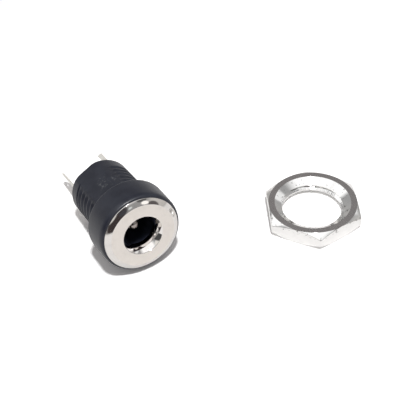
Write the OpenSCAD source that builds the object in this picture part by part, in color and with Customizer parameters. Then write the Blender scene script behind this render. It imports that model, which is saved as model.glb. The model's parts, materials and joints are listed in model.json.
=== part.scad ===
// Threaded panel-mount DC barrel jack, 5.5 x 2.1 mm, lying on its side with its panel nut beside it.
// All jack pieces are drawn on the jack's own axis: the panel face of the flange is z = 0,
// the plug side is +Z and the solder side is -Z. lie_down() then lays the jack on the surface.

/* [Head] */
// Outside diameter of the flanged head, at the panel
head_d = 14; // [13.4:0.1:15]
// Length of the moulded head, from the panel face to its front lip
head_len = 5.4; // [4.8:0.1:7]
// Draft angle of the head's side, narrower toward the front
head_draft = 1; // [0:0.25:2]
// Rounding of the head's edge beside the panel
back_round = 0.5; // [0.3:0.05:0.8]
// Rounding of the head's front edge
lip_round = 0.3; // [0.1:0.05:0.4]

/* [Barrel] */
// Outside diameter of the thread
thread_d = 10.8; // [10.4:0.1:11.6]
// Length of the barrel behind the panel face
barrel_len = 11; // [10:0.25:15]
// Pitch of the thread
thread_pitch = 1.25; // [1:0.05:1.5]
// Depth of the thread
thread_depth = 0.35; // [0.3:0.05:0.5]
// Plain length between the panel face and the first groove
thread_relief = 0.5; // [0.5:0.05:1.5]
// Plain length at the solder end
tail_band = 1.75; // [1:0.05:2.5]
// Chamfer of the barrel's rear edge
tail_chamfer = 0.3; // [0.1:0.05:0.5]
// Depth of the two flats below the thread's crest
flat_depth = 0.5; // [0.4:0.05:0.6]
// Width of each flat
flat_w = 3.9; // [3:0.1:4]

/* [Bezel ring] */
// Outside diameter of the metal ring set in the head
bezel_d = 12.8; // [12:0.1:13]
// How far the ring's face stands in front of the head's lip
bezel_proud = 0.7; // [0.6:0.05:1.2]
// Width of the ring's outer bevel, seen from the front
bevel_w = 0.88; // [0.5:0.02:1]
// Depth of the ring's outer bevel along the axis
bevel_depth = 0.56; // [0.3:0.02:0.6]
// Thickness of the ring, face to back
bezel_len = 2.5; // [2.3:0.1:3]
// Diameter of the plug opening at the face
mouth_d = 6.8; // [6.3:0.1:7.2]
// Diameter of the ring's straight land, which guides a 5.5 mm plug
land_d = 5.7; // [5.6:0.05:6]
// Depth of the conical throat from the face to the land
throat_depth = 1.7; // [1.2:0.05:1.8]

/* [Contacts] */
// Diameter of the centre pin
pin_d = 2.1; // [2:0.05:2.5]
// Depth of the pin's tip behind the face
pin_inset = 3; // [2.8:0.1:4]
// Depth of the socket behind the face
socket_depth = 12; // [11.5:0.1:12.5]
// Thickness of the contact metal
strip_t = 0.3; // [0.2:0.05:0.4]
// Width of the sleeve contact
spring_w = 2.4; // [2:0.1:2.6]
// Distance of the sleeve contact's flat back from the axis
spring_y = 3.5; // [3.4:0.05:3.6]
// How far the sleeve contact's tail reaches behind the barrel
spring_tail = 10.25; // [7:0.25:12]
// How far the pin's terminal reaches behind the barrel
pin_tail = 7.5; // [6:0.25:10]
// Width of the pin terminal's tab
tab_w = 0.9; // [0.8:0.05:1]
// Diameter of the wire hole in the sleeve contact's tail
wire_hole_d = 1.2; // [0.8:0.1:1.4]

/* [Panel nut] */
// Width of the nut across its flats
nut_af = 15.2; // [14.6:0.1:17]
// Thickness of the nut
nut_t = 3; // [2.6:0.1:4]
// Angle of the chamfer on the nut's corners
nut_chamfer = 34; // [20:1:36]
// Play between the nut's thread and the barrel's, on the radius
nut_play = 0.1; // [0.05:0.01:0.15]
// Width of the nut's countersinks, measured outward from its thread
sink_w = 1.35; // [1:0.05:1.5]
// Depth of each countersink
sink_depth = 0.85; // [0.6:0.05:0.95]

/* [Layout] */
// Turn of the jack about its own axis where it lies
lie_roll = 24; // [-90:1:90]
// Turn of the nut on the surface
nut_turn = 33; // [0:1:59]
// Sideways distance from the jack's axis to the nut's axis
nut_beside = 29.8; // [18:0.1:60]
// Distance from the jack's panel face forward to the nut's axis
nut_ahead = 10.4; // [0:0.1:40]

/* [Hidden] */
eps = 0.01;
$fn = 96;

head_r = head_d / 2;
thread_r = thread_d / 2;
root_r = thread_r - thread_depth;
// the two flats lie a little under the thread's roots, so no groove crosses their middle
flat_half = thread_r - flat_depth;
bezel_r = bezel_d / 2;
face_z = head_len + bezel_proud;
bezel_z = face_z - bezel_len;
land_z = face_z - throat_depth;
socket_z = face_z - socket_depth;
pin_r = pin_d / 2;
pin_z = face_z - pin_inset;

// clearances between the fixed pieces
fit = 0.02;
bore_play = 0.25;
bore_r = land_d / 2 + bore_play;
// the seat for the terminal base, open at the solder end, leaves this wall at the flats
base_wall = 0.7;
base_r = flat_half - base_wall;
channel_play = 0.15;
channel_w = spring_w + 2 * channel_play;
channel_y = spring_y + strip_t / 2 + channel_play;

// sleeve contact: where its leaf leaves the channel, bows into the bore and ends
leaf_len = 4.4;
bow_drop = 2;
bow_half = 0.2;
bow_reach = 0.1;
leaf_gap = 0.6;
leaf_start_z = bezel_z - leaf_len;
bow_z = bezel_z - bow_drop;
bow_y = land_d / 2 - bow_reach;
leaf_end_z = bezel_z - leaf_gap;

// pin: its shank goes through the base and is riveted over the terminal's eye
shank_r = 0.75;
tip_r = 0.6;
eye_r = 1.7;
eye_t = 0.4;
rivet_r = 1.25;
rivet_t = 0.35;
rivet_tip_r = 0.75;
tab_t = 0.4;
tab_inset = 0.05;
tab_y = base_r - tab_inset;

// thread form, as fractions of the pitch
groove_top = 0.66;
groove_floor = 0.2;
grooves = floor((barrel_len - thread_relief - tail_band) / thread_pitch);

nut_corner_r = nut_af / 2 / cos(30);
// the round top face stops this far inside the flats
nut_face_inset = 0.05;
nut_bore_r = root_r + nut_play;
nut_root_r = thread_r + nut_play;
nut_grooves = max(1, floor((nut_t - 2 * sink_depth) / thread_pitch));

// The jack rests on the rounded edge of its head and on its tail, so its axis tilts.
rest_run = barrel_len - tail_chamfer + back_round;
rest_rise = head_r - back_round - thread_r;
lie_tilt = asin(back_round / norm([rest_run, rest_rise])) + atan2(rest_rise, rest_run);
axis_h = (barrel_len - tail_chamfer) * sin(lie_tilt) + thread_r * cos(lie_tilt);
// Places in the frame: the origin is under the middle of everything that is shown.
jack_x = 1.32;
jack_y = -15.78;

module lie_down() {
    translate([jack_x, jack_y, axis_h])
        rotate([0, 90 - lie_tilt, 0])
            rotate([0, 0, 180 + lie_roll])
                children();
}

// quarter circle of a profile, from angle a0 to a1
function arc(cx, cy, r, a0, a1, n = 6) =
    [for (i = [0:n]) [cx + r * cos(a0 + (a1 - a0) * i / n), cy + r * sin(a0 + (a1 - a0) * i / n)]];

// zigzag of a ring-groove thread along z, from groove k = 0 at the head, read toward the tail
function groove_points(k) =
    let (zc = -thread_relief - (k + 0.5) * thread_pitch)
    [
        [thread_r, zc + groove_top * thread_pitch / 2],
        [root_r, zc + groove_floor * thread_pitch / 2],
        [root_r, zc - groove_floor * thread_pitch / 2],
        [thread_r, zc - groove_top * thread_pitch / 2]
    ];

// outline of a bent strip of thickness t along a path of points
function unit(v) = v / norm(v);
function left_of(v) = [-v[1], v[0]];
function side_point(path, i, d) =
    let (
        last = len(path) - 1,
        before = unit(path[max(i, 1)] - path[max(i, 1) - 1]),
        after = unit(path[min(i, last - 1) + 1] - path[min(i, last - 1)]),
        mid = unit(left_of(before) + left_of(after))
    )
    path[i] + mid * d / (mid * left_of(before));
function strip_outline(path, t) =
    concat(
        [for (i = [0:len(path) - 1]) side_point(path, i, t / 2)],
        [for (i = [len(path) - 1:-1:0]) side_point(path, i, -t / 2)]
    );

module housing_body() {
    front_r = head_r - head_len * tan(head_draft);
    rotate_extrude()
        polygon(concat(
            [[0, head_len]],
            arc(front_r - lip_round, head_len - lip_round, lip_round, 90, 0),
            arc(head_r - back_round, back_round, back_round, 0, -90),
            [[thread_r, 0]],
            [for (k = [0:grooves - 1]) each groove_points(k)],
            [
                [thread_r, tail_chamfer - barrel_len],
                [thread_r - tail_chamfer, -barrel_len],
                [0, -barrel_len]
            ]
        ));
}

module flats() {
    for (s = [-1, 1])
        translate([s * (flat_half + head_r / 2), 0, -barrel_len / 2 - eps])
            cube([head_r, flat_w, barrel_len + 2 * eps], center = true);
}

module housing() {
    color("#34363c")
        difference() {
            housing_body();
            intersection() {
                flats();
                translate([-head_d, -head_d, -barrel_len - 1])
                    cube([2 * head_d, 2 * head_d, barrel_len + 1]);
            }
            // recess for the metal ring
            translate([0, 0, bezel_z])
                cylinder(r = bezel_r + fit, h = bezel_len);
            // plug bore
            translate([0, 0, socket_z - 1])
                cylinder(r = bore_r, h = bezel_z - socket_z + 2);
            // seat for the terminal base
            translate([0, 0, -barrel_len - 1])
                cylinder(r = base_r + fit, h = barrel_len + 1 + socket_z);
            // channel of the sleeve contact
            translate([-channel_w / 2, 0, socket_z - 1])
                cube([channel_w, channel_y, bezel_z - socket_z + 2]);
        }
}

module bezel_ring() {
    color("#d9d4cd")
        rotate_extrude()
            polygon([
                [mouth_d / 2, face_z],
                [bezel_r - bevel_w, face_z],
                [bezel_r, face_z - bevel_depth],
                [bezel_r, bezel_z],
                [land_d / 2, bezel_z],
                [land_d / 2, land_z]
            ]);
}

module center_pin() {
    color("#c9cbd0")
        rotate_extrude()
            polygon(concat(
                [[0, pin_z]],
                arc(pin_r - tip_r, pin_z - tip_r, tip_r, 90, 0),
                [
                    [pin_r, socket_z],
                    [shank_r, socket_z],
                    [shank_r, -barrel_len - eye_t],
                    [rivet_r, -barrel_len - eye_t],
                    [rivet_tip_r, -barrel_len - eye_t - rivet_t],
                    [0, -barrel_len - eye_t - rivet_t]
                ]
            ));
}

module sleeve_spring() {
    tail_z = -barrel_len - spring_tail;
    color("#cfd0d3")
        difference() {
            union() {
                // the leaf: straight through the base, then bowed into the bore
                translate([-spring_w / 2, 0, 0])
                    rotate([90, 0, 90])
                        linear_extrude(height = spring_w)
                            polygon(strip_outline([
                                [spring_y, tail_z + spring_w / 2],
                                [spring_y, leaf_start_z],
                                [bow_y, bow_z - bow_half],
                                [bow_y, bow_z + bow_half],
                                [spring_y, leaf_end_z]
                            ], strip_t));
                // round end of the solder tail
                translate([0, spring_y + strip_t / 2, tail_z + spring_w / 2])
                    rotate([90, 0, 0])
                        cylinder(d = spring_w, h = strip_t);
            }
            translate([0, spring_y + strip_t, tail_z + spring_w / 2])
                rotate([90, 0, 0])
                    cylinder(d = wire_hole_d, h = 2 * strip_t);
        }
}

module terminal_base() {
    color("#2b2c30")
        difference() {
            translate([0, 0, -barrel_len])
                cylinder(r = base_r, h = socket_z + barrel_len);
            // pin hole
            translate([0, 0, -barrel_len - 1])
                cylinder(r = shank_r + fit, h = barrel_len + socket_z + 2);
            // slot for the sleeve contact
            translate([-spring_w / 2 - fit, spring_y - strip_t / 2 - fit, -barrel_len - 1])
                cube([spring_w + 2 * fit, strip_t + 2 * fit, barrel_len + socket_z + 2]);
        }
}

module pin_terminal() {
    color("#cfd0d3")
        difference() {
            union() {
                // eye under the rivet, and its arm to the edge
                translate([0, 0, -barrel_len - eye_t])
                    cylinder(r = eye_r, h = eye_t);
                translate([-eye_r / 2, -tab_y, -barrel_len - eye_t])
                    cube([eye_r / 2 + tab_t / 2, tab_y, eye_t]);
                // tab folded up along the arm's side
                translate([-tab_t / 2, -tab_y, -barrel_len - pin_tail])
                    cube([tab_t, tab_w, pin_tail]);
            }
            translate([0, 0, -barrel_len - eye_t - 1])
                cylinder(r = shank_r + fit, h = eye_t + 2);
        }
}

module nut_blank() {
    face_r = nut_af / 2 - nut_face_inset;
    drop = (nut_corner_r - face_r) * tan(nut_chamfer);
    intersection() {
        cylinder(r = nut_corner_r, h = nut_t, $fn = 6);
        rotate_extrude()
            polygon([
                [0, 0],
                [face_r, 0],
                [nut_corner_r, drop],
                [nut_corner_r, nut_t - drop],
                [face_r, nut_t],
                [0, nut_t]
            ]);
    }
}

module nut_bore() {
    plain = (nut_t - nut_grooves * thread_pitch) / 2;
    rotate_extrude()
        polygon(concat(
            [
                [0, -eps],
                [nut_bore_r + sink_w * (1 + eps / sink_depth), -eps],
                [nut_bore_r, sink_depth]
            ],
            [for (k = [0:nut_grooves - 1])
                let (zc = plain + (k + 0.5) * thread_pitch)
                each [
                    [nut_bore_r, zc - groove_top * thread_pitch / 2],
                    [nut_root_r, zc - groove_floor * thread_pitch / 2],
                    [nut_root_r, zc + groove_floor * thread_pitch / 2],
                    [nut_bore_r, zc + groove_top * thread_pitch / 2]
                ]],
            [
                [nut_bore_r, nut_t - sink_depth],
                [nut_bore_r + sink_w * (1 + eps / sink_depth), nut_t + eps],
                [0, nut_t + eps]
            ]
        ));
}

module panel_nut() {
    color("#d5d3ce")
        translate([jack_x + nut_ahead, jack_y + nut_beside, 0])
            rotate([0, 0, nut_turn])
                difference() {
                    nut_blank();
                    nut_bore();
                }
}

lie_down() housing();
lie_down() bezel_ring();
lie_down() center_pin();
lie_down() sleeve_spring();
lie_down() terminal_base();
lie_down() pin_terminal();
panel_nut();
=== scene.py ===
# %% [markdown]
# # A panel-mount barrel jack and its nut
# The object is a round power socket that goes through a hole in a panel: a black moulded body with
# a flanged head and a threaded barrel, a turned metal ring in its mouth, a contact pin inside, two
# solder terminals behind, and a hexagonal nut that lies beside it. The frame gives every piece its
# place, and this lesson gives each of them its shape and its finish. It starts by loading the frame.
# Lengths are written in millimetres, and one matrix for each of the two bodies turns them into the
# frame's metres.

# %% Load the frame
import json
import math

import bmesh
import bpy
from mathutils import Matrix, Vector


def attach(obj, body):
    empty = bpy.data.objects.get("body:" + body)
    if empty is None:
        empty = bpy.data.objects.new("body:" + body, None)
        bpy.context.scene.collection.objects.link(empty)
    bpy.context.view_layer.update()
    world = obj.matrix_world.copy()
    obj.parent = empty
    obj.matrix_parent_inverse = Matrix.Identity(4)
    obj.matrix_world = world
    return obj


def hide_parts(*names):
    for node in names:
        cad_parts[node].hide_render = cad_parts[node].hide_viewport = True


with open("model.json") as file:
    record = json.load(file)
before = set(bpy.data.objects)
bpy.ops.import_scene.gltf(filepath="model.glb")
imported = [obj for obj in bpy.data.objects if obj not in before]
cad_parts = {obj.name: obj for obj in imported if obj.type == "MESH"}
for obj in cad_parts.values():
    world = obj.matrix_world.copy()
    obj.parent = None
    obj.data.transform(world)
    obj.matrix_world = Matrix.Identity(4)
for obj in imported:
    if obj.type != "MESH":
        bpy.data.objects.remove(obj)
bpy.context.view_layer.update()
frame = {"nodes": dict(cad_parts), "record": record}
mounts = {mount["name"]: mount for mount in frame["record"]["mounts"]}
print("nodes:", sorted(frame["nodes"]))
print("mounts:", sorted(mounts))

# %% [markdown]
# The jack lies tilted on its side, so nothing on it is square to the frame. Its own axis comes from
# the mounts of the frame: the centre pin gives the line, and the panel seat gives the place along
# it. Every piece of the jack is modelled upright on that axis, in millimetres, with the plug side
# up, and one matrix then lays it down and brings it to metres. The nut has a matrix of its own.

# %% Where the jack and the nut lie
MM = 0.001
lie_roll = math.radians(24)
nut_turn = math.radians(33)

axis = Vector(mounts["plug_pin"]["axis"]).normalized()
pin_point = Vector(mounts["plug_pin"]["pos_m"])
seat_point = Vector(mounts["panel_seat"]["pos_m"])
seat_centre = pin_point + axis * (seat_point - pin_point).dot(axis)
up = (Vector((0, 0, 1)) - axis * axis.z).normalized()
side = axis.cross(up)
flat_normal = up * math.cos(lie_roll) + side * math.sin(lie_roll)
jack_place = Matrix.Translation(seat_centre) @ Matrix(
    (flat_normal, axis.cross(flat_normal), axis)
).transposed().to_4x4() @ Matrix.Scale(MM, 4)

nut_centre = Vector(mounts["nut_thread"]["pos_m"])
nut_centre.z = 0
nut_place = Matrix.Translation(nut_centre) @ Matrix.Rotation(nut_turn, 4, "Z") @ Matrix.Scale(MM, 4)
print("jack tilt:", round(math.degrees(math.asin(axis.z)), 2), "degrees")

# %% [markdown]
# The sizes below are those that the frame was built with. Heights are measured along the axis from
# the back of the head, where the panel sits: the head is above zero, the barrel below. What the
# mounts state is read from them, so the ring, the pin and the threads can't drift from the frame.
# The ring's throat ends a little tighter than its mount, because a steeper cone is what makes the
# light and dark wedges that one sees in it.

# %% Sizes
head_r = 7.0
head_len = 5.4
head_front_r = head_r - head_len * math.tan(math.radians(1))
back_round = 0.5
shoulder_w = 0.4
shoulder_len = 1.1
thread_r = mounts["panel_thread"]["dims"]["r_mm"]
pitch = 1.25
barrel_len = 11.0
tail_chamfer = 0.3
flat_half = thread_r - 0.5
face_z = head_len + 0.7
bezel_r = 6.4
bezel_z = face_z - 2.5
bevel_w = 0.88
bevel_depth = 0.56
mouth_r = 3.4
throat_depth = 1.35
land_r = mounts["plug_mouth"]["dims"]["r_mm"] - 0.19
land_z = face_z - throat_depth
socket_z = face_z - 12
bore_r = land_r + 0.44
base_wall = 0.7
base_r = flat_half - base_wall
pin_r = mounts["plug_pin"]["dims"]["r_mm"]
pin_z = face_z - 3
nut_af = 15.2
nut_t = 3.0
nut_bore_r = mounts["nut_thread"]["dims"]["r_mm"]
nut_root_r = nut_bore_r + 0.5
sink_w = 1.35
sink_depth = 0.85
print("mouth, throat, bore radii:", mouth_r, round(land_r, 2), round(bore_r, 2))
print("nut: across flats", nut_af, "bore radius", nut_bore_r)

# %% [markdown]
# The camera looks down on the two pieces from the front right of the jack, a hand's width away. One
# could type in its place and its three angles, but they say little about the view. So it is set by
# the point it looks at, its bearing from there and its distance, and it is rolled a little. Cameras
# and lamps both look along their own minus Z, so one helper turns either of them.


# %% Bearings
def bearing(azimuth, elevation):
    """A unit vector toward an azimuth and an elevation, in degrees."""
    azimuth, elevation = math.radians(azimuth), math.radians(elevation)
    return Vector(
        (
            math.cos(elevation) * math.cos(azimuth),
            math.cos(elevation) * math.sin(azimuth),
            math.sin(elevation),
        )
    )


def standing_at(place, backward):
    """The matrix of a camera or lamp at a place, with its back turned to the backward vector."""
    return Matrix.Translation(place) @ backward.to_track_quat("Z", "Y").to_matrix().to_4x4()


# %% Camera
camera_bearing = bearing(-27.53, 43.36)
camera_distance = 138.65 * MM
camera_target = Vector((0.33 * MM, -0.3 * MM, 0))
camera_roll = math.radians(4.256)

camera = bpy.data.objects.new("camera", bpy.data.cameras.new("camera"))
bpy.context.scene.collection.objects.link(camera)
camera.data.lens = 67.77
camera.data.sensor_width = 36
camera.data.clip_start = 0.005
camera.data.clip_end = 10
camera_place = camera_target + camera_bearing * camera_distance
camera.matrix_world = standing_at(camera_place, camera_bearing) @ Matrix.Rotation(-camera_roll, 4, "Z")
bpy.context.scene.camera = camera
bpy.context.scene.view_settings.view_transform = "Standard"
print("camera at:", [round(value, 4) for value in camera_place])

# %% [markdown]
# Every finish below is a small network of nodes. Wiring them one by one hides the idea, so the
# networks are written as expressions. `Signal` wraps the output socket of a node, and its operators
# add Math nodes by themselves, so that `1 - mask * 0.5` can be written as it is read.


# %% Signals
class Signal:
    """One output socket, which can be added, multiplied and compared like a number."""

    def __init__(self, shader, socket):
        self.shader = shader
        self.socket = socket

    def math(self, operation, *others):
        return self.shader.node("ShaderNodeMath", {"operation": operation}, [self, *others])

    def __add__(self, other):
        return self.math("ADD", other)

    def __sub__(self, other):
        return self.math("SUBTRACT", other)

    def __rsub__(self, other):
        return self.shader.node("ShaderNodeMath", {"operation": "SUBTRACT"}, [other, self])

    def __mul__(self, other):
        return self.math("MULTIPLY", other)

    __radd__ = __add__
    __rmul__ = __mul__

    def step(self, low, high):
        """0 below low, 1 above high, and smooth between."""
        return self.shader.node(
            "ShaderNodeMapRange",
            {"interpolation_type": "SMOOTHSTEP"},
            {"Value": self, "From Min": low, "From Max": high},
        )


# %% [markdown]
# `Shader` stands for the node tree of one material or world. Its `node` method adds any node from
# its type, its settings and its inputs, which may be plain values or signals, and the shorter
# methods are calls of `node` that come up often. Colours go through a Mix node, because a Math node
# would turn them grey. A Mix node has sockets of the same names for numbers, vectors and colours, so
# the colour ones are told apart by their places. What is the same all over a surface is a plain
# value on the shader's own socket, and only what changes over the surface comes from nodes.


# %% Shaders
COLOUR_FACTOR, COLOUR_A, COLOUR_B, COLOUR_RESULT = 0, 6, 7, 2


def set_stops(ramp, stops):
    """Give a colour ramp its (position, colour) stops."""
    while len(ramp.elements) < len(stops):
        ramp.elements.new(1.0)
    for element, (position, colour) in zip(ramp.elements, stops, strict=True):
        element.position = position
        element.color = (*colour, 1)


class Shader:
    """A material or a world whose nodes are added one call at a time."""

    def __init__(self, owner):
        owner.use_nodes = True
        self.owner = owner
        self.tree = owner.node_tree
        self.tree.nodes.clear()

    def node(self, kind, settings=None, inputs=(), output=0):
        """Add a node and return one of its outputs, or all of them where output is None."""
        node = self.tree.nodes.new(kind)
        for name, value in (settings or {}).items():
            if name == "stops":
                set_stops(node.color_ramp, value)
            else:
                setattr(node, name, value)
        pairs = inputs.items() if isinstance(inputs, dict) else enumerate(inputs)
        for key, value in pairs:
            if isinstance(value, Signal):
                self.tree.links.new(value.socket, node.inputs[key])
            else:
                node.inputs[key].default_value = value
        if output is None:
            return [Signal(self, socket) for socket in node.outputs]
        return Signal(self, node.outputs[output])

    def mix(self, factor, first, second):
        """A colour mix; a plain colour may stand for either end."""
        first, second = (end if isinstance(end, Signal) else (*end, 1) for end in (first, second))
        inputs = {COLOUR_FACTOR: factor, COLOUR_A: first, COLOUR_B: second}
        return self.node("ShaderNodeMix", {"data_type": "RGBA"}, inputs, output=COLOUR_RESULT)

    def noise(self, vector, scale, detail=2.0, roughness=0.5):
        return self.node(
            "ShaderNodeTexNoise",
            {},
            {"Vector": vector, "Scale": scale, "Detail": detail, "Roughness": roughness},
        )

    def bump(self, height, distance, strength=1.0):
        return self.node("ShaderNodeBump", {}, {"Height": height, "Distance": distance, "Strength": strength})

    def surface(self, **sockets):
        """Close a material with a Principled shader that has these values and signals."""
        named = {key.replace("_", " "): value for key, value in sockets.items()}
        principled = self.node("ShaderNodeBsdfPrincipled", {}, named)
        self.node("ShaderNodeOutputMaterial", {}, [principled], output=None)
        print(self.owner.name, "nodes:", len(self.tree.nodes))


# %% [markdown]
# A pattern that follows a turned part has to be centred on that part. Every object here sits at the
# frame's origin, so its Object coordinates are the frame's metres. A Mapping node of the Texture
# kind undoes a placement, and takes them back to the part's own upright millimetres.


# %% Coordinates on a part
def part_coordinates(shader, place):
    """Object coordinates brought to the part's own axes, in millimetres."""
    location, rotation, _ = place.decompose()
    return shader.node(
        "ShaderNodeMapping",
        {"vector_type": "TEXTURE"},
        {
            "Vector": shader.node("ShaderNodeTexCoord", output="Object"),
            "Location": location,
            "Rotation": rotation.to_euler(),
            "Scale": (MM, MM, MM),
        },
    )


def axes_of(shader, vector):
    """The x, y and z of a vector, and its distance from the z axis."""
    x, y, z = shader.node("ShaderNodeSeparateXYZ", {}, [vector], output=None)
    return x, y, z, (x * x + y * y).math("SQRT")


# %% [markdown]
# The body is moulded in black plastic with a faint blue cast. Such a moulding is never one flat
# black: its gloss changes over a few millimetres, a fine grain breaks up the highlights, and
# handling leaves pale specks. Where the part was tipped out and rubbed against others, on the flat
# near the thread, there is a patch of paler scuffs. Each of these is a noise with its own scale,
# and the patch is a noise that fades out with the distance from its middle.

# %% Black plastic
scuff_middle = (flat_half, -1.6, -4.7)
deep_black = (0.010, 0.012, 0.022)
soft_black = (0.018, 0.021, 0.033)
rubbed_grey = (0.17, 0.18, 0.19)

black = bpy.data.materials.new("black_moulded_plastic")
shader = Shader(black)
spot = part_coordinates(shader, jack_place)
cloud = shader.noise(spot, 0.5, 3)
grain = shader.noise(spot, 14.0, 3, 0.6)
specks = shader.noise(spot, 2.6, 4, 0.7).step(0.66, 0.74)
from_patch = shader.node("ShaderNodeVectorMath", {"operation": "DISTANCE"}, [spot, scuff_middle], "Value")
scuffs = shader.noise(spot, 1.7, 6, 0.75).step(0.53, 0.68) * (1 - from_patch.step(0.6, 2.7))
tint = shader.mix(cloud.step(0.35, 0.7), deep_black, soft_black)
shader.surface(
    IOR=1.5,
    Base_Color=shader.mix(specks * 0.35 + scuffs * 0.8, tint, rubbed_grey),
    Roughness=0.32 + cloud * 0.12 + specks * 0.15,
    Normal=shader.bump(grain + specks * 0.5, 0.006 * MM, 0.6),
)

# %% [markdown]
# The base that closes the rear end is a pressed insulator, greyer and duller than the body. A fine
# fibrous noise drives its colour, its roughness and its bump together, as it would in the real
# material, where the fibres stand a little proud.

# %% Insulator
insulator = bpy.data.materials.new("black_insulator")
shader = Shader(insulator)
spot = part_coordinates(shader, jack_place)
fibre = shader.noise(spot, 9.0, 4, 0.7)
shader.surface(
    IOR=1.5,
    Base_Color=shader.mix(fibre, (0.018, 0.018, 0.020), (0.034, 0.033, 0.034)),
    Roughness=0.6 + fibre * 0.2,
    Normal=shader.bump(fibre, 0.01 * MM, 0.5),
)

# %% [markdown]
# The ring and the nut are turned from brass and nickel plated. Nickel is a warm grey mirror. Where
# the tool faced it, fine circles around the axis spread the reflection, so the ring's face and the
# top of the nut look satin, while the bevels were left bright and the throat is nearly a mirror.
# One function makes all of them: a noise that is read only by the distance from the axis gives the
# circles, a broad one gives stains, and a sharp one gives the specks of dirt that a nut carries on
# its upper side.


# %% Nickel plating
dirt_colour = (0.10, 0.09, 0.085)


def nickel(name, place, colour, roughness, circles, stains=0.6, grime=0.0):
    """Plated metal. The circles are given by their height in millimetres, stains and grime from 0 to 1."""
    material = bpy.data.materials.new(name)
    shader = Shader(material)
    spot = part_coordinates(shader, place)
    _, _, height, radius = axes_of(shader, spot)
    wobble = shader.noise(spot, 0.6, 2)
    lines = shader.node(
        "ShaderNodeTexNoise",
        {"noise_dimensions": "1D"},
        {"W": radius, "Scale": 24.0, "Detail": 4.0},
    )
    stain = shader.noise(spot, 0.9, 4, 0.6)
    upper_side = height.step(2.1, 2.3)
    dirt = shader.noise(spot, 1.6, 5, 0.75).step(0.58, 0.64) * upper_side * grime
    darker = tuple(0.86 * part for part in colour)
    clean = shader.mix(stain.step(0.4, 0.75) * stains, colour, darker)
    shader.surface(
        Metallic=1.0,
        Base_Color=shader.mix(dirt, clean, dirt_colour),
        Roughness=roughness + (wobble + stain.step(0.5, 0.8)) * (roughness * 0.3) + dirt * 0.3,
        Normal=shader.bump(lines + wobble * 0.1, circles * MM, 1.0),
    )
    return material


ring_face = nickel("nickel_faced", jack_place, (0.82, 0.775, 0.73), 0.26, 0.003, 0.35)
ring_bright = nickel("nickel_bright", jack_place, (0.82, 0.795, 0.77), 0.07, 0.0006)
ring_mirror = nickel("nickel_throat", jack_place, (0.90, 0.87, 0.85), 0.025, 0.0002, 0.2)
# The pin's colour is painted shade: it is the same nickel made far darker, so that the tip looks as dark as
# the shade inside the bore.
pin_nickel_painted_dark = nickel("pin_plating_painted_dark", jack_place, (0.40, 0.36, 0.34), 0.06, 0.0006)
# The nut's two finishes are painted light and shade on one plating: its sides and chamfers are painted whiter
# than nickel is, and its faced top darker than the sides.
nut_top_painted_darker = nickel("nut_faced_painted_darker", nut_place, (0.72, 0.70, 0.69), 0.22, 0.004, 0.8, 0.25)
nut_sides_painted_light = nickel("nut_sides_painted_light", nut_place, (0.97, 0.965, 0.955), 0.06, 0.0012, 0.3, 0.85)

# %% [markdown]
# The contacts are stamped from tinned strip, which is softer and whiter than nickel and hardly
# mirrors anything. Its marks run along the strip, as the rolls left them, so the noise is stretched
# by a second Mapping node: fine across the jack's axis, long along it.

# %% Tinned strip
tin = bpy.data.materials.new("tinned_strip")
shader = Shader(tin)
spot = part_coordinates(shader, jack_place)
rolled = shader.node("ShaderNodeMapping", {}, {"Vector": spot, "Scale": (6.0, 6.0, 0.4)})
marks = shader.noise(rolled, 3.0, 3)
shader.surface(
    Metallic=0.4,
    Base_Color=shader.mix(marks, (0.84, 0.82, 0.77), (0.94, 0.92, 0.87)),
    Roughness=0.36 + marks * 0.12,
    Normal=shader.bump(marks, 0.004 * MM, 0.6),
)

# %% [markdown]
# Most pieces of a jack come off a lathe or out of a round mould, so they are turned here too. A
# profile of (radius, height) points becomes one wire of vertices, and `spin` carries it round the
# axis. A profile that closes on itself gives a ring, and one that starts and ends on the axis gives
# a solid. The ends of a full spin are merged, and normals are recalculated once they are.


# %% Turning a profile
def arc(cx, cy, r, start, end, count=6, tall=None):
    """Points on an arc of a profile, between two angles in degrees. With tall, it is an ellipse's."""
    tall = tall or r
    points = []
    for i in range(count + 1):
        angle = math.radians(start + (end - start) * i / count)
        points.append((cx + r * math.cos(angle), cy + tall * math.sin(angle)))
    return points


def turned(profile, steps=160):
    """A closed solid of revolution. The profile is a loop, and may touch the axis."""
    bm = bmesh.new()
    verts = [bm.verts.new((r, 0, z)) for r, z in profile]
    pairs = list(zip(verts, verts[1:] + verts[:1], strict=True))
    edges = [bm.edges.new(pair) for pair in pairs if pair[0].co.x > 0 or pair[1].co.x > 0]
    bmesh.ops.spin(
        bm,
        geom=verts + edges,
        cent=(0, 0, 0),
        axis=(0, 0, 1),
        dvec=(0, 0, 0),
        angle=2 * math.pi,
        steps=steps,
        use_merge=True,
        use_duplicate=False,
    )
    bmesh.ops.remove_doubles(bm, verts=bm.verts, dist=1e-5)
    bmesh.ops.recalc_face_normals(bm, faces=bm.faces)
    return bm


# %% [markdown]
# A screw thread is a groove that climbs one pitch in each turn. Stacked rings would look the same
# from afar, but wouldn't run out at the ends. `spin` can also step along the axis, so the groove's
# outline, spun that way, becomes a helical cutter. Its ends are drawn out of the material, as a
# mould's thread runs out, and so are the stretches beside the flats of the barrel.


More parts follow.
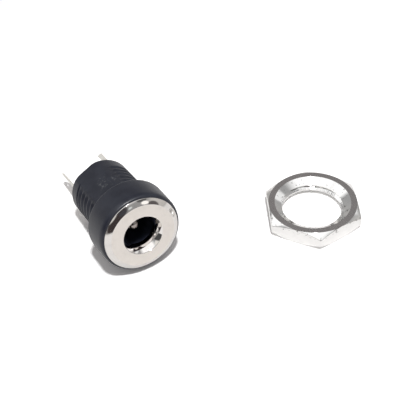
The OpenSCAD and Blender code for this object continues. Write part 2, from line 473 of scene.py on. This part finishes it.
# %% A helical cutter
def thread_cutter(outline, z_start, turns, outward, fade=0.12, per_turn=144, clear=None, lean=0):
    """Spin a groove outline of (radius, height) points into a helix that starts at z_start.

    Its ends are drawn outward, and so is what comes within the clear angles of the x axis, or of a
    line that leans from it.
    """
    bm = bmesh.new()
    verts = [bm.verts.new((r, 0, z_start + z)) for r, z in outline]
    face = bm.faces.new(verts)
    steps = round(per_turn * turns)
    bmesh.ops.spin(
        bm,
        geom=[face, *face.verts, *face.edges],
        cent=(0, 0, 0),
        axis=(0, 0, 1),
        dvec=(0, 0, pitch / per_turn),
        angle=2 * math.pi * turns,
        steps=steps,
        use_merge=False,
        use_duplicate=False,
    )
    bmesh.ops.remove_doubles(bm, verts=bm.verts, dist=1e-6)
    bmesh.ops.holes_fill(bm, edges=bm.edges, sides=0)
    for vert in bm.verts:
        turn = (vert.co.z - z_start) / pitch
        drawn = max(0.0, 1 - turn / fade, 1 - (turns - turn) / fade)
        if clear:
            turn_angle = math.degrees(math.atan2(vert.co.y, vert.co.x)) + lean
            from_flat = abs((turn_angle + 90) % 180 - 90)
            drawn = max(drawn, (clear[1] - from_flat) / (clear[1] - clear[0]))
        radius = math.hypot(vert.co.x, vert.co.y)
        scale = (radius + outward * min(1.0, drawn)) / radius
        vert.co.x *= scale
        vert.co.y *= scale
    bmesh.ops.recalc_face_normals(bm, faces=bm.faces)
    return bm


# %% [markdown]
# Cuts that don't follow the axis, such as flats, slots and the thread, can't be spun. They are made
# by a Boolean modifier on a scratch object, and the result comes back as a bmesh, so that what
# follows can go on with operators.


# %% Cutting
def scratch(bm, name):
    mesh = bpy.data.meshes.new(name)
    bm.to_mesh(mesh)
    bm.free()
    thing = bpy.data.objects.new(name, mesh)
    bpy.context.scene.collection.objects.link(thing)
    return thing


def cut(bm, *cutters):
    """bm less each cutter, as a new bmesh."""
    body = scratch(bm, "blank")
    tools = [scratch(cutter, "cutter") for cutter in cutters]
    for tool in tools:
        boolean = body.modifiers.new("cut", "BOOLEAN")
        boolean.operation = "DIFFERENCE"
        boolean.solver = "EXACT"
        boolean.object = tool
    shaped = bpy.data.meshes.new_from_object(body.evaluated_get(bpy.context.evaluated_depsgraph_get()))
    result = bmesh.new()
    result.from_mesh(shaped)
    for thing in [body, *tools]:
        mesh = thing.data
        bpy.data.objects.remove(thing)
        bpy.data.meshes.remove(mesh)
    bpy.data.meshes.remove(shaped)
    bmesh.ops.remove_doubles(result, verts=result.verts, dist=1e-5)
    return result


def block(low, high):
    """A box between two corners."""
    bm = bmesh.new()
    bmesh.ops.create_cube(bm, size=1)
    low, high = Vector(low), Vector(high)
    bmesh.ops.scale(bm, vec=high - low, verts=bm.verts)
    bmesh.ops.translate(bm, vec=(high + low) / 2, verts=bm.verts)
    return bm


# %% [markdown]
# Three helpers finish a piece. `soften` bevels the edges that are sharper than some angle, because
# no real edge is without a width, `crisp_edges` keeps what is still sharp from being shaded round,
# and `finished` lays the piece in its place, hangs it on the root body and hides the frame's node
# that it stands for.


# %% Finishing a piece
def crisp_edges(bm, angle=30):
    """Shade smooth, but keep edges sharper than the angle crisp."""
    limit = math.radians(angle)
    for face in bm.faces:
        face.smooth = True
    for edge in bm.edges:
        edge.smooth = len(edge.link_faces) == 2 and edge.calc_face_angle(0.0) < limit


def soften(bm, width, low, high=170, segments=2, where=None):
    """Bevel the edges whose faces turn by an angle between low and high, in degrees."""
    low, high = math.radians(low), math.radians(high)
    sharp = []
    for edge in bm.edges:
        if len(edge.link_faces) == 2 and low < edge.calc_face_angle(0.0) < high:
            if where is None or where(edge):
                sharp.append(edge)
    bmesh.ops.bevel(
        bm,
        geom=sharp,
        offset=width,
        offset_type="OFFSET",
        segments=segments,
        profile=0.5,
        affect="EDGES",
        material=-1,
        clamp_overlap=True,
    )


def finished(bm, name, place, node, materials):
    """Lay a bmesh in its place as a piece that stands for a node of the frame."""
    crisp_edges(bm)
    bmesh.ops.transform(bm, matrix=place, verts=bm.verts)
    mesh = bpy.data.meshes.new(name)
    bm.to_mesh(mesh)
    triangles = sum(len(face.verts) - 2 for face in bm.faces)
    loose = sum(1 for edge in bm.edges if len(edge.link_faces) != 2)
    bm.free()
    for material in materials:
        mesh.materials.append(material)
    piece = bpy.data.objects.new(name, mesh)
    bpy.context.scene.collection.objects.link(piece)
    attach(piece, "root")
    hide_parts(node)
    print(name, "triangles:", triangles, "open edges:", loose)
    return piece


# %% [markdown]
# The body is one moulding. Its whole section is a single loop: over the head and down the barrel
# outside, then up the rear seat, the plug bore and the ring's recess inside. The front corner of the
# head isn't a round of one radius: it starts flat at the ring and falls away along the side, so it
# is a quarter of an ellipse, longer along the axis than across it.

# %% Turned blank of the body
body_profile = [
    (bezel_r, head_len),
    *arc(head_front_r - shoulder_w, head_len - shoulder_len, shoulder_w, 90, 0, 8, tall=shoulder_len),
    *arc(head_r - back_round, back_round, back_round, 0, -90),
    (thread_r, 0),
    (thread_r, tail_chamfer - barrel_len),
    (thread_r - tail_chamfer, -barrel_len),
    (base_r, -barrel_len),
    (base_r, socket_z),
    (bore_r, socket_z),
    (bore_r, bezel_z),
    (bezel_r, bezel_z),
]
body = turned(body_profile, 192)
print("turned blank:", len(body.faces), "faces")

# %% [markdown]
# Two flats on the barrel keep the jack from turning in its panel hole. They are cut off by blocks
# that reach well past the barrel and stop at the head. A third block cuts the channel in which the
# sleeve contact lies beside the plug bore.

# %% Flats and channel
flats = [
    block((flat_half, -thread_r, -barrel_len - 1), (head_r + 1, thread_r, 0)),
    block((-head_r - 1, -thread_r, -barrel_len - 1), (-flat_half, thread_r, 0)),
]
channel_half = 1.35
channel_reach = 3.8
channel = block((-channel_half, 0, socket_z - 1), (channel_half, channel_reach, bezel_z + 0.2))
body = cut(body, *flats, channel)

# %% [markdown]
# The thread of a moulded barrel has rounded roots, because a mould's edges aren't sharp, and narrow
# crests. So the outline of its groove is a V with a soft bottom and soft shoulders. It starts above
# the plain band at the tail, and runs out before it reaches each flat, a little sooner on one side
# of the flat than on the other.

# %% Thread on the barrel
groove_depth = 0.62
groove = [
    (thread_r + 0.3, -0.58),
    (thread_r, -0.53),
    (thread_r - 0.05, -0.45),
    (thread_r - groove_depth + 0.07, -0.13),
    (thread_r - groove_depth, 0),
    (thread_r - groove_depth + 0.07, 0.13),
    (thread_r - 0.05, 0.45),
    (thread_r, 0.53),
    (thread_r + 0.3, 0.58),
]
thread_start = -8.9
thread_turns = 6.5
runout = groove_depth + 0.1
body = cut(body, thread_cutter(groove, thread_start, thread_turns, runout, clear=(26, 37), lean=6))
finished(body, "housing_dressed", jack_place, "housing", [black])

# %% [markdown]
# The ring is turned too: a wide bevel outside, a flat face, and a conical throat that leads the plug
# in and ends in a short land with an undercut behind it. Its sharp corners get a fine rounding by a
# bevel, which is what catches the light on a real edge. Then each face is given its finish by where
# it lies: satin on the flat front, mirror in the throat, and bright everywhere else.

# %% Bezel ring
undercut = 0.2
land_len = 0.15
edge_round = 0.05
ring = turned(
    [
        (mouth_r, face_z),
        (bezel_r - bevel_w, face_z),
        (bezel_r, face_z - bevel_depth),
        (bezel_r, bezel_z),
        (land_r + undercut, bezel_z),
        (land_r + undercut, land_z - land_len - undercut),
        (land_r, land_z - land_len),
        (land_r, land_z),
    ],
    256,
)
soften(ring, edge_round, low=8)
ring_finishes = [ring_bright, ring_face, ring_mirror]
for face in ring.faces:
    middle = face.calc_center_median()
    if face.normal.z > 0.99:
        face.material_index = ring_finishes.index(ring_face)
    elif middle.xy.length < mouth_r - edge_round and middle.z > bezel_z:
        face.material_index = ring_finishes.index(ring_mirror)
finished(ring, "bezel_ring_dressed", jack_place, "bezel_ring", ring_finishes)

# %% [markdown]
# The nut starts as a turned ring whose outer corners are already chamfered. Six flats are then cut
# from it, one `bisect_plane` each, and that is how a real nut gets the curved edges where the
# chamfer meets a flat. Each cut leaves a hole, which is filled before the next cut.

# %% Nut blank and its six flats
corner_r = nut_af / 2 / math.cos(math.radians(30))
face_rim_r = nut_af / 2 - 0.05
blank_r = corner_r + 0.02
chamfer_drop = (corner_r - face_rim_r) * math.tan(math.radians(34))
nut = turned(
    [
        (nut_bore_r + sink_w, 0),
        (face_rim_r, 0),
        (blank_r, chamfer_drop),
        (blank_r, nut_t - chamfer_drop),
        (face_rim_r, nut_t),
        (nut_bore_r + sink_w, nut_t),
        (nut_bore_r, nut_t - sink_depth),
        (nut_bore_r, sink_depth),
    ],
    240,
)
for k in range(6):
    angle = math.radians(30 + 60 * k)
    outward = Vector((math.cos(angle), math.sin(angle), 0))
    sliced = bmesh.ops.bisect_plane(
        nut,
        geom=[*nut.verts, *nut.edges, *nut.faces],
        dist=1e-5,
        plane_co=outward * nut_af / 2,
        plane_no=outward,
        clear_outer=True,
    )
    rim = [edge for edge in sliced["geom_cut"] if isinstance(edge, bmesh.types.BMEdge)]
    bmesh.ops.contextual_create(nut, geom=rim)
bmesh.ops.recalc_face_normals(nut, faces=nut.faces)
print("chamfer drops at the corners by", round(chamfer_drop, 2), "mm; faces:", len(nut.faces))

# %% [markdown]
# The outer edges are worn round by tumbling, more than a fine bevel shows, so they get a wide one of
# four segments; the bore is left out by its radius. The thread comes last, as it does in a real nut,
# where the tap goes through both countersinks and leaves ragged crescents there.


# %% Nut edges and thread
def outside_thread(edge):
    return min(vert.co.xy.length for vert in edge.verts) > nut_root_r


soften(nut, 0.24, low=45, segments=4, where=outside_thread)
inner_groove = [
    (nut_bore_r - 0.3, -0.56),
    (nut_bore_r, -0.5),
    (nut_root_r, -0.08),
    (nut_root_r, 0.08),
    (nut_bore_r, 0.5),
    (nut_bore_r - 0.3, 0.56),
]
inner_turns = (nut_t + 2 * pitch) / pitch
nut = cut(nut, thread_cutter(inner_groove, -pitch, inner_turns, 0.0))
for face in nut.faces:
    face.material_index = int(abs(face.normal.z) > 0.99)
finished(nut, "panel_nut_dressed", nut_place, "panel_nut", [nut_sides_painted_light, nut_top_painted_darker])

# %% [markdown]
# The pin is a small turned post that the plug slides over. Its tip is domed, so that the plug finds
# it, and its rear end goes through the base and is riveted over the terminal. It is one profile from
# the tip to the rivet, because nothing on it is out of round.

# %% Centre pin
tip_r = 1.0
shank_r = 0.75
rivet_r = 1.25
rivet_seat_z = -barrel_len - 0.4
rivet_end_z = -barrel_len - 0.75
pin = turned(
    [
        (0, pin_z),
        *arc(pin_r - tip_r, pin_z - tip_r, tip_r, 90, 0, 12),
        (pin_r, socket_z),
        (shank_r, socket_z),
        (shank_r, rivet_seat_z),
        (rivet_r, rivet_seat_z),
        (shank_r, rivet_end_z),
        (0, rivet_end_z),
    ],
    96,
)
finished(pin, "center_pin_dressed", jack_place, "center_pin", [pin_nickel_painted_dark])

# %% [markdown]
# The sleeve contact and the pin's terminal are flat stampings with crisp sheared edges, and the base
# is a plain pressed disc. The frame already holds those shapes, so nothing is modelled again: the
# nodes stay as they are, and only their materials are changed.

# %% Finishes on the frame's own pieces
for node, material in (
    ("sleeve_spring", tin),
    ("pin_terminal", tin),
    ("terminal_base", insulator),
):
    piece = frame["nodes"][node]
    piece.data.materials.clear()
    piece.data.materials.append(material)
    print(node, "gets", material.name)

# %% [markdown]
# The two pieces lie on a plain white table. Its whiteness is in its colour and not in more light:
# for camera rays it is whiter than paper, so that it shows as white while it still takes shadows,
# and for all other rays it is ordinary white paper. Away from the pieces, where no shadow falls,
# camera rays see a plain white of strength 1, so the table has no far edge from any side.

# %% Table
bm = bmesh.new()
bmesh.ops.create_grid(bm, x_segments=1, y_segments=1, size=1.5)
mesh = bpy.data.meshes.new("table")
bm.to_mesh(mesh)
bm.free()
table = bpy.data.objects.new("table", mesh)
bpy.context.scene.collection.objects.link(table)

paper = bpy.data.materials.new("white_table")
shader = Shader(paper)
is_camera = shader.node("ShaderNodeLightPath", output="Is Camera Ray")
matte = shader.node("ShaderNodeBsdfDiffuse", {}, {"Color": (0.86, 0.855, 0.85, 1)})
white = shader.node("ShaderNodeBsdfDiffuse", {}, {"Color": (1, 1, 1, 1)})
extra = shader.node("ShaderNodeBsdfDiffuse", {}, {"Color": (0.35, 0.35, 0.35, 1)})
whiter = shader.node("ShaderNodeAddShader", {}, [white, extra])
lit = shader.node("ShaderNodeMixShader", {}, [is_camera, matte, whiter])
_, _, _, reach = axes_of(shader, shader.node("ShaderNodeTexCoord", output="Object"))
far_off = reach.step(45 * MM, 100 * MM)
beyond = shader.node("ShaderNodeEmission", {}, {"Color": (1, 1, 1, 1), "Strength": 1.0})
shown = shader.node("ShaderNodeMixShader", {}, [is_camera * far_off, lit, beyond])
shader.node("ShaderNodeOutputMaterial", {}, [shown], output=None)
mesh.materials.append(paper)
print("table:", [round(value, 1) for value in table.dimensions], "m")

# %% [markdown]
# One small lamp hangs overhead, a little in front. A wide one would make the shadows soft all over,
# while this one leaves them short, and crisp where a piece touches the table.

# %% Key lamp
key_place = bearing(-15, 70) * 0.5
key_light = bpy.data.lights.new("key", "AREA")
key_light.shape = "DISK"
key_light.size = 0.04
key_light.energy = 1.7
key = bpy.data.objects.new("key", key_light)
key.matrix_world = standing_at(key_place, key_place)
bpy.context.scene.collection.objects.link(key)
print("key lamp at:", [round(value, 3) for value in key_place])

# %% [markdown]
# Polished metal shows everything around it, so a plain world would leave the ring and the nut flat
# and lifeless. The world is drawn as the room around a small table: bright above, grey behind,
# with pale and dark cards, and dark on the side from which one looks, where nothing is lit. A card
# could be an object, but as a round patch of directions it casts no shadow and is never in view.


# %% Cards in the room
world = bpy.data.worlds.new("studio")
bpy.context.scene.world = world
shader = Shader(world)
direction = shader.node("ShaderNodeTexCoord", output="Generated")


def card(azimuth, elevation, inner, outer):
    """1 inside a round card of the world, 0 outside it, by the angle from its middle."""
    middle = bearing(azimuth, elevation)
    towards = shader.node("ShaderNodeVectorMath", {"operation": "DOT_PRODUCT"}, [direction, middle], "Value")
    return towards.step(math.cos(math.radians(outer)), math.cos(math.radians(inner)))


# %% [markdown]
# The room's walls and ceiling are a ramp over height. Then come the cards, each with its azimuth and
# elevation, the angles at which it starts and stops to fade, and its shade. Their order matters,
# because a later card covers an earlier one, as the bright card of 6 degrees does with the rims of
# the two dark ones before it.

# %% Room
_, _, height, _ = axes_of(shader, direction)
sky_stops = [
    (0.0, (0.42, 0.41, 0.40)),
    (0.45, (0.34, 0.34, 0.34)),
    (0.72, (0.34, 0.34, 0.34)),
    (0.88, (1.1, 1.1, 1.1)),
]
sky = shader.node("ShaderNodeValToRGB", {"stops": sky_stops}, [height])
for azimuth, elevation, inner, outer, shade in (
    (60, 5, 18, 34, (0.62, 0.60, 0.58)),
    (-140, 45, 10, 20, (1.1, 1.1, 1.1)),
    (142, 42, 14, 30, (0.25, 0.24, 0.24)),
    (95, 30, 8, 14, (0.85, 0.85, 0.85)),
    (160, 66, 8, 18, (0.3, 0.3, 0.3)),
    (45, 15, 8, 12, (0.12, 0.11, 0.11)),
    (41, 44, 8, 12, (0.12, 0.12, 0.12)),
    (36, 29, 6, 8, (1.25, 1.23, 1.2)),
    (-30, 34, 19, 26, (0.05, 0.045, 0.05)),
    (-30, 12, 18, 27, (0.05, 0.04, 0.04)),
    (-14, 33, 5, 10, (0.06, 0.06, 0.07)),
    (-56, 36, 15, 20, (0.8, 0.78, 0.75)),
    (-90, 13, 22, 30, (0.07, 0.07, 0.07)),
    (4, 36, 2, 5, (0.85, 0.9, 0.9)),
):
    sky = shader.mix(card(azimuth, elevation, inner, outer), sky, shade)
print("room nodes:", len(shader.tree.nodes))

# %% [markdown]
# Only what a glossy surface reflects is taken from that room. Matt surfaces get a weak, slightly
# warm and even fill instead, which sets how dark the shadows are, and the camera sees a plain white
# of strength 1 behind everything, so that the white behind the object is no light on it.

# %% Who sees which world
room = shader.node("ShaderNodeBackground", {}, {"Color": sky, "Strength": 1.0})
fill = shader.node("ShaderNodeBackground", {}, {"Color": (1, 0.97, 0.96, 1), "Strength": 0.38})
paper_like = shader.node("ShaderNodeBackground", {}, {"Color": (1, 1, 1, 1), "Strength": 1.0})
is_glossy = shader.node("ShaderNodeLightPath", output="Is Glossy Ray")
is_camera = shader.node("ShaderNodeLightPath", output="Is Camera Ray")
unseen = shader.node("ShaderNodeMixShader", {}, [is_glossy, fill, room])
surround = shader.node("ShaderNodeMixShader", {}, [is_camera, unseen, paper_like])
shader.node("ShaderNodeOutputWorld", {}, [surround], output=None)
print("world nodes:", len(shader.tree.nodes))
